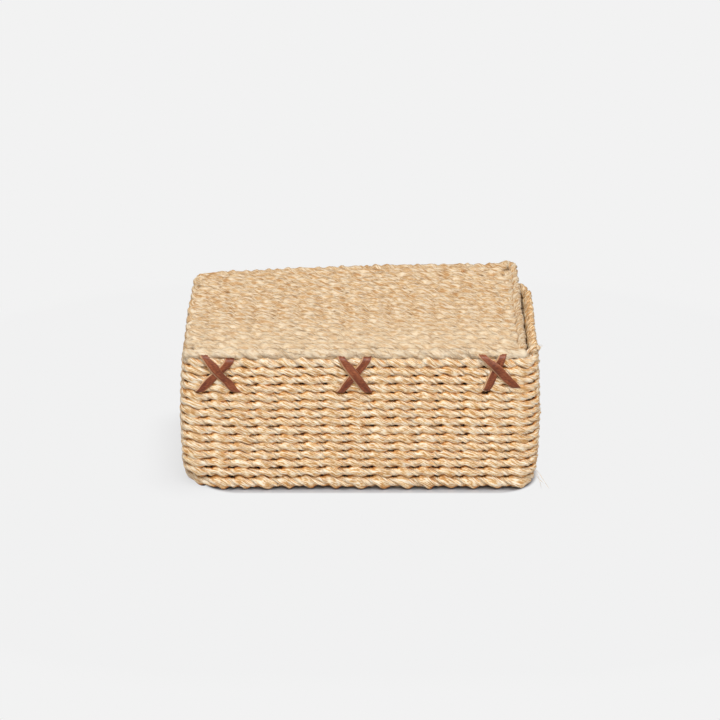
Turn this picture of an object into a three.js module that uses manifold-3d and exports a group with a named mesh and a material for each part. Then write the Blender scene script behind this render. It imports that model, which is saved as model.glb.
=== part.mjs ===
// Woven box for folded guest napkins. Straw strands are twined in courses round upright stakes,
// and a flat twined lid is laced to the front edge by three leather crosses.
// Millimetres, +Z up, the laced front faces -Y, the origin is under the middle of the base.
import * as THREE from 'three';
import { mergeVertices } from 'three/addons/utils/BufferGeometryUtils.js';
import Module from 'manifold-3d';

const wasm = await Module();
wasm.setup();

// Driving dimensions of the box
const boxLength = 222; // along X, over the outer strands
const boxDepth = 125; // along Y, over the outer strands
const cornerRadius = 12; // of the outer strands, seen from above
const coursePitch = 5.7; // height of one course of the wall
const courseCount = 15; // twined courses under the rim
const clearance = 0.3; // between pieces that touch

// Straw strands and the stakes that they go round
const strandWidth = 5.2;
const strandThickness = 2.2;
const strandCrown = 2.4; // width of the flat crown on the strand's outer side
const strandEdge = 1; // thickness of the strand along its edges
const stakeDiameter = 1.6;
const stakePitch = 14.25;
const stakeShift = -2; // the front stakes stand a little left of the middle
const frontStakePairs = 6; // stakes on each side of the middle one, front and back
const sideStakePairs = 3; // stakes on each side of the middle one, left and right
const stakeBend = 2.4; // radius in which a stake turns from the wall into the base

// Lid
const lidLength = 214;
const lidShift = -4; // its left edge is flush with the wall, its right edge stops short
const borderWidth = 5; // of the rope along the lid's back and right edges
const borderCorner = 8; // radius of that rope at the back right corner

// Leather laces
const laceWidth = 5; // measured level, across the slanting thong
const laceThickness = 1.3;
const laceBend = 1; // radius in which a thong turns into the wall
const laceStakes = [-6, 0, 6]; // the front stakes that the crosses sit on
const laceNames = ['left', 'middle', 'right'];
const laceCourses = 3; // courses under the rim that a cross spans
const laceFootSpread = 9.2; // of the lower holes, from the middle of the cross
const laceFootTail = 11; // length of the tails inside, under the lower holes
const laceHeadTail = 15; // length of the bight inside, under the hinge cord's middle
const laceTailSpread = 1.2; // of the tails from the middle, where they meet inside the wall
const overlapReach = 4; // above and below the crossing, the upper thong lies fully on the other
const overlapFade = 10; // and there it is back on the wall
const knotSize = { width: 9, depth: 2.6, height: 6 };

// Facets
const cornerSteps = 4;
const innerCornerSteps = 2; // of the inner strands, which turn in a smaller radius
const bendSteps = 3;
const turnSteps = 3;
const stakeSides = 4;
const cordSides = 10;
const loopSteps = 8;
const runSteps = 12;
const knotSegments = 8;

// Sizes that follow from the driving dimensions
const stakeInset = strandThickness + clearance + stakeDiameter / 2;
const innerInset = strandThickness + 2 * clearance + stakeDiameter;
const wallThickness = innerInset + strandThickness;
const rimTop = (courseCount + 1) * coursePitch;
const rimHeight = coursePitch - clearance;
const matLift = strandThickness + 2 * clearance + stakeDiameter; // from one layer of a mat to the other
const matThickness = matLift + strandThickness;
const baseStakeHeight = matThickness / 2;
const stakeTop = rimTop - rimHeight - clearance;
const lidBottom = rimTop + clearance;
const lidLeft = lidShift - lidLength / 2;
const lidRight = lidShift + lidLength / 2;
const lidBack = boxDepth / 2;
const hingeRadius = wallThickness / 2;
const hingeY = -boxDepth / 2 + hingeRadius;
const hingeZ = lidBottom + hingeRadius;
const laceOffset = clearance + laceThickness / 2; // from a surface to the middle of a thong on it
const laceRadius = hingeRadius + laceOffset;
const laceHeadSpread = stakePitch / 2;
const holeCourse = courseCount - laceCourses; // the course above the laces' lower holes
const slotHeight = laceThickness + 2 * clearance;
const holeHeight = holeCourse * coursePitch + (coursePitch - strandWidth) / 2 - slotHeight / 2;
const lidRowStart = hingeY + laceRadius + laceThickness / 2 + clearance;

const straw = { color: 0xdcbd8e, roughness: 0.85, metalness: 0 };
const paleStraw = { color: 0xe3c89c, roughness: 0.85, metalness: 0 };
const stakeStraw = { color: 0xb98f5a, roughness: 0.9, metalness: 0 };
const leather = { color: 0x8a4b39, roughness: 0.6, metalness: 0 };

const across = new THREE.Vector3(1, 0, 0);
const back = new THREE.Vector3(0, 1, 0);
const upward = new THREE.Vector3(0, 0, 1);

// A strand's section: flat towards the stakes, crowned on the outer side.
const strandSection = [
  [-strandWidth / 2, 0],
  [strandWidth / 2, 0],
  [strandWidth / 2, strandEdge],
  [strandCrown / 2, strandThickness],
  [-strandCrown / 2, strandThickness],
  [-strandWidth / 2, strandEdge],
];

// An upright oval with flat top, bottom and sides, for ropes.
function ropeSection(width, height) {
  const flatShare = Math.SQRT2 - 1; // of a regular octagon's width
  const w = width / 2;
  const h = height / 2;
  const outline = [[flatShare, 1], [1, flatShare], [1, -flatShare], [flatShare, -1]];
  const mirrored = outline.map(([x, y]) => [-x, y]).reverse();
  return [...outline, ...mirrored].map(([x, y]) => [x * w, y * h]);
}

function roundSection(diameter, sides) {
  const points = new THREE.EllipseCurve(0, 0, diameter / 2, diameter / 2).getPoints(sides);
  return points.slice(0, sides).map((p) => [p.x, p.y]);
}

// Sweeps a convex section along stations, each a point with the directions of the section's axes.
function sweep(stations, section, closed) {
  const positions = [];
  for (const { point, first, second } of stations) {
    for (const [a, b] of section) {
      const corner = point.clone().addScaledVector(first, a).addScaledVector(second, b);
      positions.push(corner.x, corner.y, corner.z);
    }
  }
  const sides = section.length;
  const index = [];
  const spans = closed ? stations.length : stations.length - 1;
  for (let i = 0; i < spans; i++) {
    const here = i * sides;
    const next = ((i + 1) % stations.length) * sides;
    for (let j = 0; j < sides; j++) {
      const k = (j + 1) % sides;
      index.push(here + j, here + k, next + k, here + j, next + k, next + j);
    }
  }
  if (!closed) {
    const last = (stations.length - 1) * sides;
    for (let j = 1; j < sides - 1; j++) {
      index.push(0, j + 1, j, last, last + j, last + j + 1);
    }
  }
  const geometry = new THREE.BufferGeometry();
  geometry.setAttribute('position', new THREE.Float32BufferAttribute(positions, 3));
  geometry.setIndex(index);
  return facingOut(geometry);
}

// Turns every face round if the closed surface holds a negative volume.
function facingOut(geometry) {
  const position = geometry.getAttribute('position');
  const order = geometry.getIndex().array;
  const corners = [0, 1, 2].map(() => new THREE.Vector3());
  let volume = 0;
  for (let i = 0; i < order.length; i += 3) {
    corners.forEach((corner, j) => corner.fromBufferAttribute(position, order[i + j]));
    volume += corners[0].dot(corners[1].clone().cross(corners[2]));
  }
  if (volume < 0) geometry.setIndex(Array.from(order).reverse());
  return geometry;
}

function solid(geometry) {
  const bare = geometry.clone();
  bare.deleteAttribute('normal');
  bare.deleteAttribute('uv');
  const merged = mergeVertices(bare);
  return new wasm.Manifold(new wasm.Mesh({
    numProp: 3,
    vertProperties: merged.getAttribute('position').array,
    triVerts: new Uint32Array(merged.getIndex().array),
  }));
}

function geometryOf(manifold) {
  const mesh = manifold.getMesh();
  const geometry = new THREE.BufferGeometry();
  geometry.setAttribute('position', new THREE.BufferAttribute(mesh.vertProperties, 3));
  geometry.setIndex(new THREE.BufferAttribute(mesh.triVerts, 1));
  return geometry;
}

function join(geometries) {
  return geometryOf(geometries.map(solid).reduce((whole, piece) => whole.add(piece)));
}

function cut(geometry, tools) {
  return geometryOf(tools.map(solid).reduce((left, tool) => left.subtract(tool), solid(geometry)));
}

// Points round a rectangle with rounded corners, each with its outward direction.
function roundedLoop(halfLength, halfDepth, radius, steps) {
  const points = [];
  const quarter = Math.PI / 2;
  [[1, 1], [-1, 1], [-1, -1], [1, -1]].forEach(([sideX, sideY], corner) => {
    for (let i = 0; i <= steps; i++) {
      const angle = quarter * (corner + i / steps);
      const outward = new THREE.Vector3(Math.cos(angle), Math.sin(angle), 0);
      const centre = new THREE.Vector3(sideX * (halfLength - radius), sideY * (halfDepth - radius), 0);
      points.push({ point: centre.addScaledVector(outward, radius), outward });
    }
  });
  return points;
}

// One ring of the wall. Its section's second axis points away from the stakes.
function wallRing(inset, height, section, facing, steps) {
  const loop = roundedLoop(boxLength / 2 - inset, boxDepth / 2 - inset, cornerRadius - inset, steps);
  const stations = loop.map(({ point, outward }) => ({
    point: point.clone().setZ(height),
    first: upward,
    second: outward.clone().multiplyScalar(facing),
  }));
  return sweep(stations, section, true);
}

function outerStrand(course) {
  return wallRing(strandThickness, (course + 0.5) * coursePitch, strandSection, 1, cornerSteps);
}

function innerStrand(course) {
  return wallRing(innerInset, (course + 0.5) * coursePitch, strandSection, -1, innerCornerSteps);
}

function rimBorder() {
  const section = ropeSection(rimHeight, wallThickness);
  return wallRing(wallThickness / 2, rimTop - rimHeight / 2, section, 1, cornerSteps);
}

// A bar that bends through the given points. Its section's first axis stays along `side`.
function bentBar(points, side, section) {
  const stations = points.map((point, i) => {
    const before = points[Math.max(i - 1, 0)];
    const after = points[Math.min(i + 1, points.length - 1)];
    const tangent = after.clone().sub(before).normalize();
    return { point, first: side, second: side.clone().cross(tangent).normalize() };
  });
  return sweep(stations, section, false);
}

// The upper end, the upright and the bend of a stake. It stands at `foot` and turns into the base
// towards `inward`.
function stakeLeg(foot, inward) {
  const points = [foot.clone().setZ(stakeTop)];
  const centre = foot.clone().addScaledVector(inward, stakeBend).setZ(baseStakeHeight + stakeBend);
  for (let i = 0; i <= bendSteps; i++) {
    const angle = (Math.PI / 2) * (i / bendSteps);
    points.push(centre.clone()
      .addScaledVector(inward, -stakeBend * Math.cos(angle))
      .addScaledVector(upward, -stakeBend * Math.sin(angle)));
  }
  return points;
}

function frontStakePlaces() {
  const places = [];
  for (let i = -frontStakePairs; i <= frontStakePairs; i++) places.push(stakeShift + i * stakePitch);
  return places;
}

// All stakes of the box, fused where they cross in the base.
function boxStakes() {
  const section = roundSection(stakeDiameter, stakeSides);
  const halfLength = boxLength / 2 - stakeInset;
  const halfDepth = boxDepth / 2 - stakeInset;
  const bars = [];
  const places = frontStakePlaces();
  for (const x of places) {
    const front = stakeLeg(new THREE.Vector3(x, -halfDepth, 0), back);
    const rear = stakeLeg(new THREE.Vector3(x, halfDepth, 0), back.clone().negate());
    bars.push(bentBar([...front, ...rear.reverse()], across, section));
  }
  const ends = [places[0], places[places.length - 1]];
  for (let i = -sideStakePairs; i <= sideStakePairs; i++) {
    const y = i * stakePitch;
    const legs = ends.map((end) => {
      const side = Math.sign(end);
      return stakeLeg(new THREE.Vector3(side * halfLength, y, 0), new THREE.Vector3(-side, 0, 0));
    });
    if (i === 0) {
      bars.push(bentBar([...legs[0], ...legs[1].reverse()], back, section));
    } else {
      legs.forEach((leg, j) => {
        const tip = new THREE.Vector3(ends[j], y, baseStakeHeight);
        bars.push(bentBar([...leg, tip], back, section));
      });
    }
  }
  for (const end of ends) {
    for (const side of [-1, 1]) {
      const outward = new THREE.Vector3(Math.sign(end), side, 0).normalize();
      const centre = new THREE.Vector3(
        Math.sign(end) * (boxLength / 2 - cornerRadius),
        side * (boxDepth / 2 - cornerRadius),
        0,
      );
      const foot = centre.addScaledVector(outward, cornerRadius - stakeInset);
      const inward = outward.clone().negate();
      const reach = (Math.abs(foot.x) - Math.abs(end)) / Math.abs(outward.x);
      const tip = foot.clone().addScaledVector(inward, reach).setZ(baseStakeHeight);
      bars.push(bentBar([...stakeLeg(foot, inward), tip], inward.clone().cross(upward), section));
    }
  }
  return join(bars);
}

// One layer of a mat: a strand that runs left to right in rows and turns back at each end.
// `endAt` gives the left and right limits of a row at the given depth.
function mat(frontY, backY, endAt, height, facing) {
  const span = backY - frontY - strandWidth;
  const rows = Math.floor(span / coursePitch) + 1;
  const pitch = span / (rows - 1);
  const stations = [];
  const place = (x, y, direction) => stations.push({
    point: new THREE.Vector3(x, y, height),
    first: new THREE.Vector3(-direction.y, direction.x, 0),
    second: upward.clone().multiplyScalar(facing),
  });
  for (let row = 0; row < rows; row++) {
    const y = frontY + strandWidth / 2 + row * pitch;
    const forward = row % 2 === 0 ? 1 : -1;
    const heading = new THREE.Vector3(forward, 0, 0);
    const edge = (rowY) => endAt(rowY)[forward > 0 ? 1 : 0];
    if (row === 0) place(endAt(y)[0], y, heading);
    if (row === rows - 1) {
      place(edge(y), y, heading);
      break;
    }
    const reach = pitch / 2 + strandWidth / 2;
    const turnX = forward * Math.min(forward * edge(y), forward * edge(y + pitch)) - forward * reach;
    for (let i = 0; i <= turnSteps; i++) {
      const angle = Math.PI * (i / turnSteps);
      const direction = new THREE.Vector3(forward * Math.cos(angle), Math.sin(angle), 0);
      place(
        turnX + forward * (pitch / 2) * Math.sin(angle),
        y + (pitch / 2) * (1 - Math.cos(angle)),
        direction,
      );
    }
  }
  return sweep(stations, strandSection, false);
}

// How much of its end a row loses in a rounded corner. `edge` is the row's side towards the corner,
// and `limit` is where the corner ends.
function cornerLoss(edge, limit, radius) {
  const past = Math.max(edge - (limit - radius), 0);
  return radius - Math.sqrt(Math.max(radius * radius - past * past, 0));
}

// A mat that fills the box at the given inset from the outer strands.
function baseMat(inset, height, facing) {
  const halfDepth = boxDepth / 2 - inset;
  const radius = cornerRadius - inset;
  const endAt = (y) => {
    const loss = cornerLoss(Math.abs(y) + strandWidth / 2, halfDepth, radius);
    const end = boxLength / 2 - inset - loss;
    return [-end, end];
  };
  return mat(-halfDepth, halfDepth, endAt, height, facing);
}

// A mat between the hinge cord and the inner side of the lid's rope.
function lidMat(height, facing) {
  const inset = borderWidth + clearance;
  const backEdge = lidBack - inset;
  const radius = Math.max(borderCorner - inset, 0);
  const endAt = (y) => {
    const loss = cornerLoss(y + strandWidth / 2, backEdge, radius);
    return [lidLeft, lidRight - inset - loss];
  };
  return mat(lidRowStart, backEdge, endAt, height, facing);
}

// The lid's stakes, gathered in the rope along its back and right edges.
function lidFrame() {
  const height = lidBottom + matThickness / 2;
  const start = hingeY + hingeRadius + clearance;
  const ropeY = lidBack - borderWidth / 2;
  const ropeX = lidRight - borderWidth / 2;
  const bend = borderCorner - borderWidth / 2;
  const stations = [];
  const place = (x, y, angle) => stations.push({
    point: new THREE.Vector3(x, y, height),
    first: new THREE.Vector3(Math.cos(angle), Math.sin(angle), 0),
    second: upward,
  });
  place(lidLeft, ropeY, Math.PI / 2);
  for (let i = 0; i <= cornerSteps; i++) {
    const angle = (Math.PI / 2) * (1 - i / cornerSteps);
    place(ropeX - bend + bend * Math.cos(angle), ropeY - bend + bend * Math.sin(angle), angle);
  }
  place(ropeX, start, 0);
  const rope = sweep(stations, ropeSection(borderWidth, matThickness), false);
  const section = roundSection(stakeDiameter, stakeSides);
  const stakes = frontStakePlaces().map((x) => bentBar(
    [new THREE.Vector3(x, start, height), new THREE.Vector3(x, ropeY, height)],
    across,
    section,
  ));
  return join([rope, ...stakes]);
}

function hingeCord() {
  return new THREE.CylinderGeometry(hingeRadius, hingeRadius, lidLength, cordSides);
}

// A thong from its tail inside the wall, out through the lower hole, up the front, round the
// hinge cord and down inside. `lift` is how far it stands off the wall at the crossing.
function thong(footX, headX, lift) {
  const outside = -boxDepth / 2 - laceOffset;
  const inside = -boxDepth / 2 + wallThickness + laceOffset;
  const points = [];
  const add = (x, y, z) => points.push(new THREE.Vector3(x, y, z));
  const quarter = Math.PI / 2;
  add(Math.sign(footX) * laceTailSpread, inside, holeHeight - laceFootTail);
  for (let i = 0; i <= bendSteps; i++) {
    const angle = quarter * (i / bendSteps);
    const y = inside - laceBend * (1 - Math.cos(angle));
    add(footX, y, holeHeight - laceBend * (1 - Math.sin(angle)));
  }
  for (let i = 0; i <= bendSteps; i++) {
    const angle = quarter * (i / bendSteps);
    const y = outside + laceBend * (1 - Math.sin(angle));
    add(footX, y, holeHeight + laceBend * (1 - Math.cos(angle)));
  }
  const runStart = holeHeight + laceBend;
  const crossing = THREE.MathUtils.mapLinear(0, footX, headX, runStart, hingeZ);
  const steps = lift > 0 ? runSteps : 1;
  for (let i = 1; i <= steps; i++) {
    const share = i / steps;
    const z = THREE.MathUtils.lerp(runStart, hingeZ, share);
    const away = THREE.MathUtils.smoothstep(Math.abs(z - crossing), overlapReach, overlapFade);
    add(THREE.MathUtils.lerp(footX, headX, share), outside - lift * (1 - away), z);
  }
  for (let i = 1; i <= loopSteps; i++) {
    const angle = Math.PI * (1 - i / loopSteps);
    add(headX, hingeY + laceRadius * Math.cos(angle), hingeZ + laceRadius * Math.sin(angle));
  }
  add(Math.sign(headX) * laceTailSpread, inside, hingeZ - laceHeadTail);
  const w = laceWidth / 2;
  const t = laceThickness / 2;
  return bentBar(points, across, [[-w, -t], [w, -t], [w, t], [-w, t]]);
}

// One lace about the middle of its cross: the lower thong, the one that lies over it and the knot.
function lace() {
  const knot = new THREE.SphereGeometry(0.5, knotSegments, knotSegments);
  knot.scale(knotSize.width, knotSize.depth, knotSize.height);
  const wallFace = -boxDepth / 2 + wallThickness;
  knot.translate(0, wallFace + clearance + knotSize.depth / 2, holeHeight - laceFootTail);
  return join([
    thong(-laceFootSpread, laceHeadSpread, 0),
    thong(laceFootSpread, -laceHeadSpread, laceThickness + clearance),
    knot,
  ]);
}

function lacePlaces() {
  return laceStakes.map((stake) => stakeShift + stake * stakePitch);
}

// The slots through which the thongs pass the wall, in the upper edge of the course under the crosses.
function laceHoles() {
  return lacePlaces().flatMap((x) => [-1, 1].map((side) => {
    const hole = new THREE.BoxGeometry(
      laceWidth + 2 * clearance,
      2 * wallThickness,
      slotHeight,
    );
    return hole.translate(x + side * laceFootSpread, -boxDepth / 2 + wallThickness / 2, holeHeight);
  }));
}

function part(name, geometry, finish) {
  const mesh = new THREE.Mesh(geometry, new THREE.MeshStandardMaterial(finish));
  mesh.name = name;
  return mesh;
}

const box = new THREE.Group();
const holes = laceHoles();
for (let course = 0; course < courseCount; course++) {
  const number = String(course + 1).padStart(2, '0');
  const slotted = course === holeCourse - 1;
  const finished = (strand) => (slotted ? cut(strand, holes) : strand);
  box.add(part(`outer_strand_${number}`, finished(outerStrand(course)), straw));
  if (course > 0) box.add(part(`inner_strand_${number}`, finished(innerStrand(course)), straw));
}
box.add(part('rim_border', rimBorder(), straw));
box.add(part('box_stakes', boxStakes(), stakeStraw));
box.add(part('base_weft_lower', baseMat(strandThickness + clearance, strandThickness, -1), straw));
box.add(part('base_weft_upper', baseMat(wallThickness + clearance, matLift, 1), straw));
lacePlaces().forEach((x, i) => {
  const mesh = part(`lace_${laceNames[i]}`, lace(), leather);
  mesh.position.x = x;
  box.add(mesh);
});

const lid = new THREE.Group();
lid.add(part('lid_weft_lower', lidMat(lidBottom + strandThickness, -1), paleStraw));
lid.add(part('lid_weft_upper', lidMat(lidBottom + matLift, 1), paleStraw));
lid.add(part('lid_border', lidFrame(), straw));
const cord = part('lid_hinge_cord', hingeCord(), straw);
cord.position.set(lidShift, hingeY, hingeZ);
cord.rotation.z = Math.PI / 2;
lid.add(cord);

const napkinBox = new THREE.Group();
napkinBox.add(box, lid);

export default napkinBox;
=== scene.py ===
import math

import bmesh
import bpy
import numpy as np
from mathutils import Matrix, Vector


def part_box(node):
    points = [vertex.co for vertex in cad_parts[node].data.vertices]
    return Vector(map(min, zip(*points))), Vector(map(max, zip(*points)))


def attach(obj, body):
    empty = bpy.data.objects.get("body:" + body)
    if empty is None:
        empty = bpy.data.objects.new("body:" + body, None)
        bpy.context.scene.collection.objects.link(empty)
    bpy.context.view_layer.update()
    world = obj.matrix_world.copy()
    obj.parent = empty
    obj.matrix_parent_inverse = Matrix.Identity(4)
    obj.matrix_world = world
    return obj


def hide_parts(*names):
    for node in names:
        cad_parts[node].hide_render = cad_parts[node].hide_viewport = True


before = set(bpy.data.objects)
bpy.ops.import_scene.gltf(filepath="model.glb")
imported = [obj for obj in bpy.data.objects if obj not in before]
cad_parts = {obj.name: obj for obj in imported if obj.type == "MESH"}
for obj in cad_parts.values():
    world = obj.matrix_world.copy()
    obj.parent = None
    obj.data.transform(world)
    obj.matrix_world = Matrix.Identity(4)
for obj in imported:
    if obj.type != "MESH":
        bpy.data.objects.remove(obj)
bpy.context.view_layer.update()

# Twined straw box for folded guest napkins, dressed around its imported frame.
# Lengths here are in millimetres, and mm turns them into Blender's metres.
scene = bpy.context.scene
mm = 0.001
tableClear = 0.05  # the lowest strands lie flat on the table
uvSpread = 5  # metres over which each strand takes its own stretch of the patterns
weldDistance = 1e-6  # metres
fewestSteps = 4  # along a path


def linear(hexColour):
    channels = [int(hexColour[i:i + 2], 16) / 255 for i in (0, 2, 4)]
    bent = [c / 12.92 if c <= 0.04045 else ((c + 0.055) / 1.055) ** 2.4 for c in channels]
    return (*bent, 1.0)


def addNode(tree, kind, inputs=None, stops=None, **settings):
    made = tree.nodes.new(kind)
    for key, value in settings.items():
        setattr(made, key, value)
    for key, value in (inputs or {}).items():
        if isinstance(value, bpy.types.NodeSocket):
            tree.links.new(value, made.inputs[key])
        else:
            made.inputs[key].default_value = value
    if stops:  # a ramp's places and colours
        while len(made.color_ramp.elements) < len(stops):
            made.color_ramp.elements.new(0.5)
        for element, (place, hexColour) in zip(made.color_ramp.elements, stops):
            element.position = place
            element.color = linear(hexColour)
    return made


def newMaterial(name):
    made = bpy.data.materials.new(name)
    made.use_nodes = True
    made.node_tree.nodes.clear()
    return made, made.node_tree


# Noise drawn out along a strand or a thong, whose UV map is in metres with V along it.
def streaks(tree, vector, width, length, detail, roughness):
    scaled = addNode(tree, "ShaderNodeMapping", {
        "Vector": vector, "Scale": (1 / mm / width, 1 / mm / length, 1),
    })
    noise = addNode(tree, "ShaderNodeTexNoise", {
        "Vector": scaled.outputs["Vector"], "Scale": 1.0, "Detail": detail, "Roughness": roughness,
    }, noise_dimensions="2D")
    return noise.outputs["Fac"]


# Twisted straw: dry leaf strips, loosely twisted and not sealed. The eye gets silky streaks along each
# strand, a little gloss on the crests, and painted shade, deep brown, where strands tuck under each other.
strawFinish = {
    "fibreWidth": 0.45,  # a leaf's ribs are about 0.2 mm, drawn coarser so that they show
    "fibreLength": 5,
    "fibreDetail": 3.0,
    "fibreShare": 0.62,  # of the tone, the rest is the strips'
    "fibreRange": (0.405, 0.595),  # the part of the noise that is drawn out to full contrast
    "stripWidth": 2.2,
    "stripLength": 26,
    "stripDetail": 1.0,
    "twist": -9,  # degrees between the strips and the strand
    "fleckSize": 2.2,
    "fleckStretch": 3,
    "fleckDetail": 2.0,
    "fleckRange": (0.58, 0.7),
    "fleckDepth": 0.5,
    "noiseRoughness": 0.62,
    "paleColour": "ecd8b8",
    "bumpHeight": 0.45,
    "bumpStrength": 0.7,
    "roughness": 0.74,
    "ior": 1.46,
    "sheenRoughness": 0.6,
}


def strawMaterial(name, ramp, paintedShadeRamp, fleck, sheen, **changes):
    made, tree = newMaterial(name)
    f = {**strawFinish, **changes}
    uv = addNode(tree, "ShaderNodeUVMap", uv_map="UVMap").outputs["UV"]
    turned = addNode(tree, "ShaderNodeMapping", {
        "Vector": uv, "Rotation": (0, 0, math.radians(f["twist"])),
    }).outputs["Vector"]
    noiseRoughness = f["noiseRoughness"]
    fibres = streaks(tree, turned, f["fibreWidth"], f["fibreLength"], f["fibreDetail"], noiseRoughness)
    strips = streaks(tree, turned, f["stripWidth"], f["stripLength"], f["stripDetail"], noiseRoughness)
    fleckLength = f["fleckSize"] * f["fleckStretch"]
    flecks = streaks(tree, turned, f["fleckSize"], fleckLength, f["fleckDetail"], noiseRoughness)
    tone, paintedLitShare, wear = (addNode(tree, "ShaderNodeAttribute", attribute_name=key).outputs["Fac"]
                         for key in ("tone", "paintedLitShare", "wear"))
    crisp = addNode(tree, "ShaderNodeMapRange", {
        "Value": fibres, "From Min": f["fibreRange"][0], "From Max": f["fibreRange"][1],
    }).outputs["Result"]
    both = addNode(tree, "ShaderNodeMix", {0: f["fibreShare"], 2: strips, 3: crisp},
                   data_type="FLOAT").outputs[0]
    mixed = addNode(tree, "ShaderNodeMath", {0: both, 1: tone}, operation="ADD").outputs[0]
    body = addNode(tree, "ShaderNodeValToRGB", {"Fac": mixed}, stops=ramp).outputs["Color"]
    spots = addNode(tree, "ShaderNodeMapRange", {
        "Value": flecks, "From Min": f["fleckRange"][0], "From Max": f["fleckRange"][1],
        "To Min": 0.0, "To Max": f["fleckDepth"],
    }).outputs["Result"]
    spotted = addNode(tree, "ShaderNodeMix", {0: spots, 6: body, 7: linear(fleck)},
                      data_type="RGBA").outputs[2]
    paledBody = addNode(tree, "ShaderNodeMix", {0: wear, 6: spotted, 7: linear(f["paleColour"])},
                    data_type="RGBA").outputs[2]
    # painted shade: a ramp darkens the colour where a strand lies in a gap between rows or tucks under
    # another
    shade = addNode(tree, "ShaderNodeValToRGB", {"Fac": paintedLitShare}, stops=paintedShadeRamp).outputs["Color"]
    colour = addNode(tree, "ShaderNodeMix", {0: 1.0, 6: paledBody, 7: shade},
                     data_type="RGBA", blend_type="MULTIPLY").outputs[2]
    bump = addNode(tree, "ShaderNodeBump", {
        "Height": both, "Strength": f["bumpStrength"], "Distance": f["bumpHeight"] * mm,
    }).outputs["Normal"]
    shader = addNode(tree, "ShaderNodeBsdfPrincipled", {
        "Base Color": colour, "Roughness": f["roughness"], "IOR": f["ior"], "Normal": bump,
        "Sheen Weight": sheen, "Sheen Roughness": f["sheenRoughness"],
    })
    addNode(tree, "ShaderNodeOutputMaterial", {"Surface": shader.outputs["BSDF"]})
    return made


wallStraw = strawMaterial(  # honey-coloured strands with painted shade in their gaps
    "twisted_straw",
    ramp=[(0.16, "cb9252"), (0.4, "f3ca92"), (0.6, "fee4b9"), (0.8, "fff0d9")],
    paintedShadeRamp=[(0.0, "0e0602"), (0.16, "3c210e"), (0.32, "ac763c"), (0.48, "e9bf87"), (0.66, "fbe6c6"),
            (0.85, "ffffff")],
    fleck="bf8850", sheen=0.05)
lidStraw = strawMaterial(  # the same straw, paler and more even, with coarser fibres and lighter painted shade in its gaps
    "even_lid_straw",
    ramp=[(0.12, "b78751"), (0.38, "d5b082"), (0.6, "e1c59c"), (0.84, "ead6b9")],
    paintedShadeRamp=[(0.0, "4a2c12"), (0.2, "b98654"), (0.42, "ecd2ab"), (0.65, "ffffff")],
    fleck="b57c40", sheen=0.1, fibreWidth=0.8, fibreLength=6, fleckSize=1.4, fleckDepth=0.45, twist=-8)
stakeStraw = strawMaterial(  # stiff cords with painted shade: darker because they lie deep in the weave
    "stiff_straw_cord",
    ramp=[(0.2, "8d6235"), (0.42, "a87a47"), (0.6, "bd9160"), (0.8, "cda878")],
    paintedShadeRamp=[(0.0, "ffffff"), (1.0, "ffffff")],
    fleck="80582f", sheen=0.0)

# Vegetable-tanned leather: a smooth brown grain side with a satin gloss, and raw cut edges that show
# the pale fibre of the hide.
leatherFinish = {
    "pore": 0.7,
    "poreDetail": 3.0,
    "streakWidth": 1.4,  # where the thong was pulled tight
    "streakLength": 16,
    "streakDetail": 2.0,
    "noiseRoughness": 0.6,
    "hide": [(0.36, "5a240c"), (0.5, "7f3c19"), (0.64, "a05c36")],
    "raw": [(0.35, "bd8c62"), (0.65, "dab58e")],
    "bumpHeight": 0.15,
    "bumpStrength": 0.5,
    "roughness": 0.44,
    "rawRoughness": 0.85,
    "ior": 1.5,
}


def leatherMaterial(name):
    made, tree = newMaterial(name)
    f = leatherFinish
    uv = addNode(tree, "ShaderNodeUVMap", uv_map="UVMap").outputs["UV"]
    noiseRoughness = f["noiseRoughness"]
    pores = streaks(tree, uv, f["pore"], f["pore"], f["poreDetail"], noiseRoughness)
    pull = streaks(tree, uv, f["streakWidth"], f["streakLength"], f["streakDetail"], noiseRoughness)
    edge = addNode(tree, "ShaderNodeAttribute", attribute_name="edge").outputs["Fac"]
    both = addNode(tree, "ShaderNodeMath", {0: pores, 1: pull}, operation="ADD").outputs[0]
    half = addNode(tree, "ShaderNodeMath", {0: both, 1: 0.5}, operation="MULTIPLY").outputs[0]
    hide, raw = (addNode(tree, "ShaderNodeValToRGB", {"Fac": half}, stops=f[key]).outputs["Color"]
                 for key in ("hide", "raw"))
    colour = addNode(tree, "ShaderNodeMix", {0: edge, 6: hide, 7: raw}, data_type="RGBA").outputs[2]
    rough = addNode(tree, "ShaderNodeMapRange", {
        "Value": edge, "To Min": f["roughness"], "To Max": f["rawRoughness"],
    }).outputs["Result"]
    bump = addNode(tree, "ShaderNodeBump", {
        "Height": half, "Strength": f["bumpStrength"], "Distance": f["bumpHeight"] * mm,
    }).outputs["Normal"]
    shader = addNode(tree, "ShaderNodeBsdfPrincipled", {
        "Base Color": colour, "Roughness": rough, "IOR": f["ior"], "Normal": bump,
    })
    addNode(tree, "ShaderNodeOutputMaterial", {"Surface": shader.outputs["BSDF"]})
    return made


leather = leatherMaterial("vegetable_tanned_leather")
print("materials ready")


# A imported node's box in millimetres.
def boxOf(node):
    return [[round(v / mm, 2) for v in corner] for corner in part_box(node)]


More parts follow.
